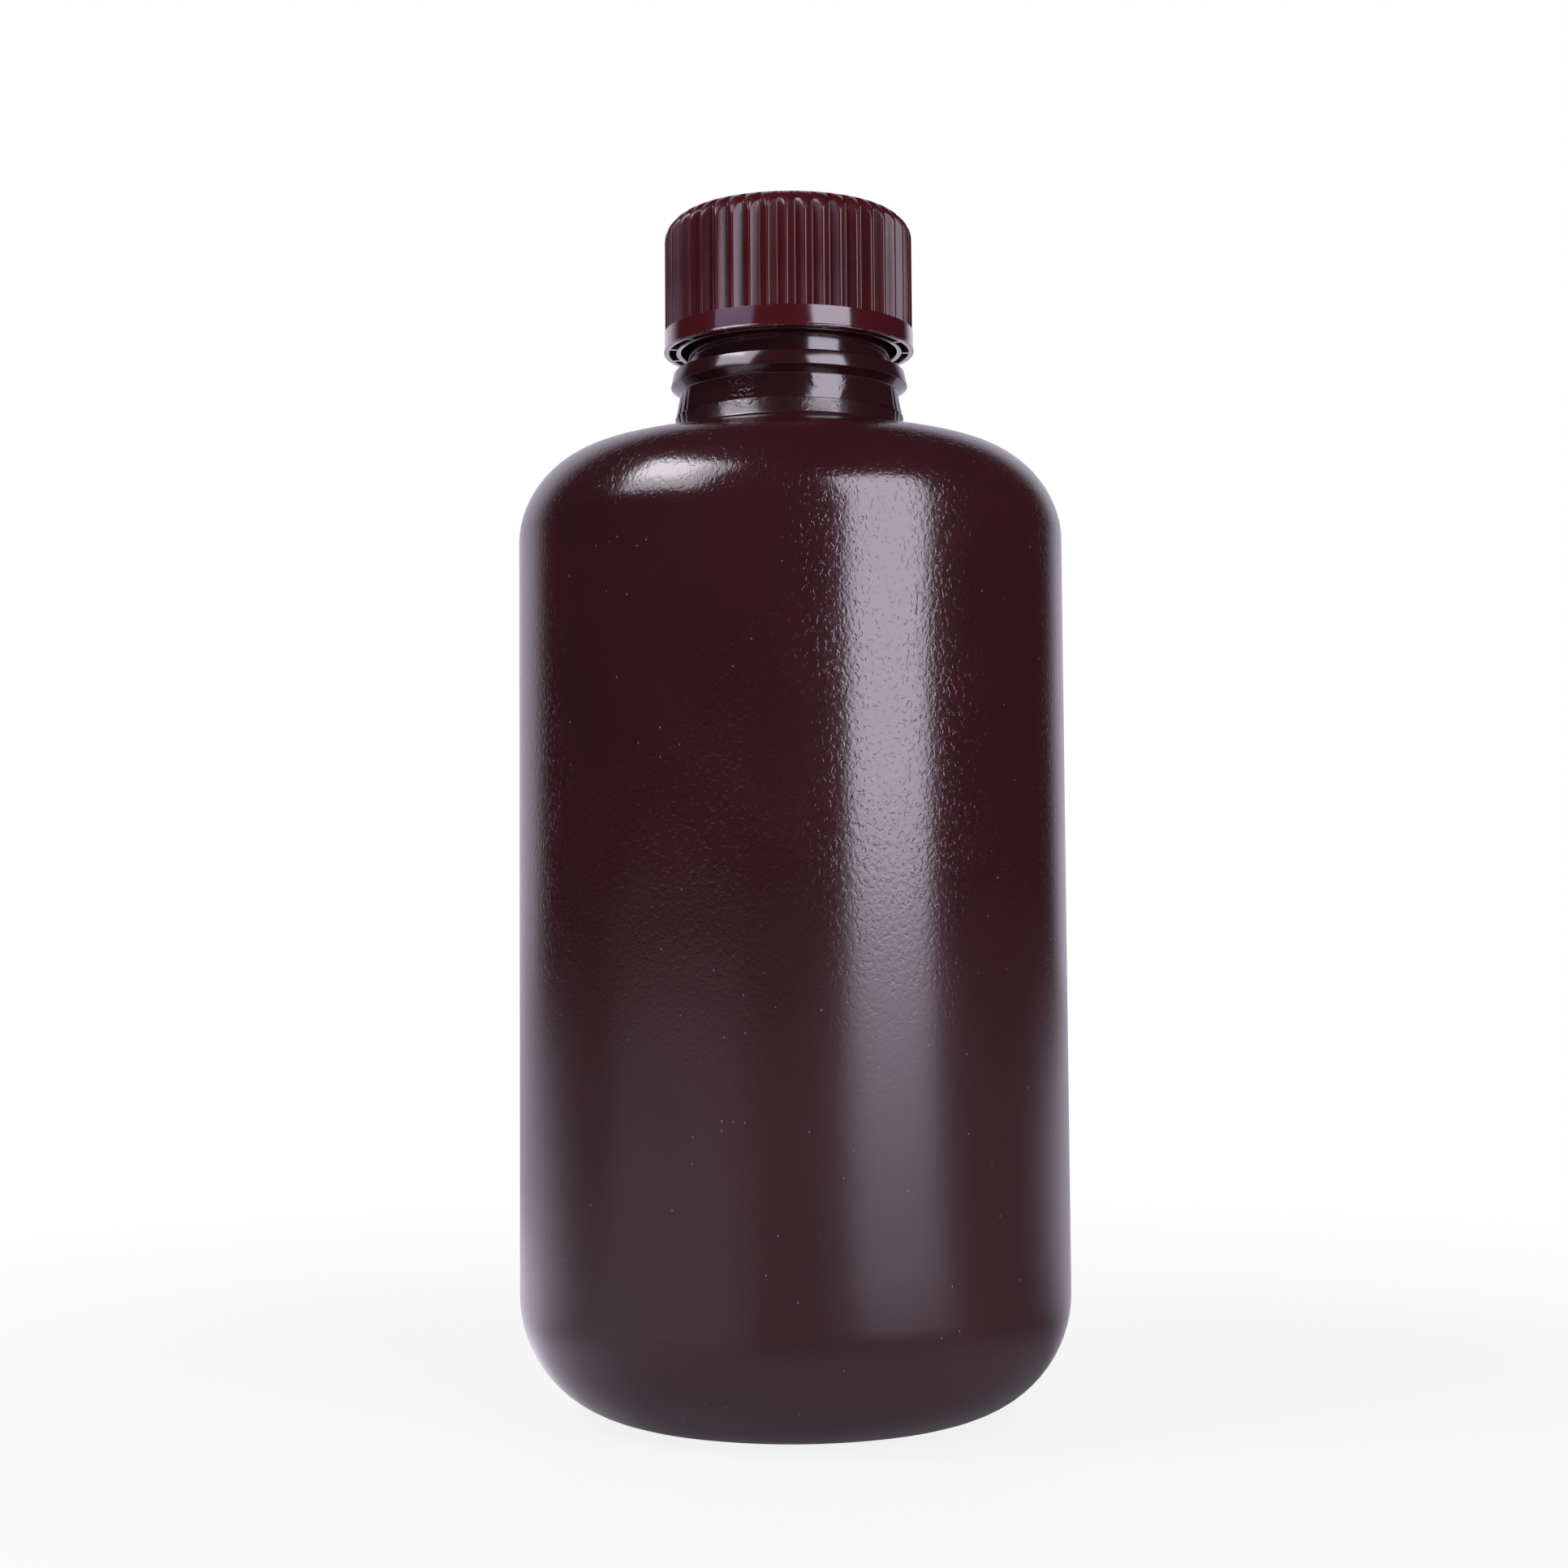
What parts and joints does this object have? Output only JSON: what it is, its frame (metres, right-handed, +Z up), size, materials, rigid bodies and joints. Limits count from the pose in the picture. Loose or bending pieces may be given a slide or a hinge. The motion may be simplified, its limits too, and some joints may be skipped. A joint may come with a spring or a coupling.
{
  "type": "narrow mouth reagent bottle",
  "caption": "Round plastic reagent bottle with a sloped shoulder, a narrow ringed neck and a ribbed screw cap that seals its bore.",
  "frame": {"origin": "centre of the standing plane, on the bottle's axis", "axes": "+Z up the bottle's axis towards the cap, +X to the right and +Y away from the viewer of the picture"},
  "size_m": [0.094, 0.094, 0.2065],
  "materials": {
    "bottle": "satin",
    "cap": "satin"
  },
  "bodies": {
    "bottle": {"bottle": "bottle"},
    "cap": {"cap": "cap"}
  },
  "joints": [
    {"name": "cap_lift", "type": "slide", "parent": "bottle", "child": "cap", "axis": [0, 0, 1], "range_m": [0, 0.06]}
  ]
}
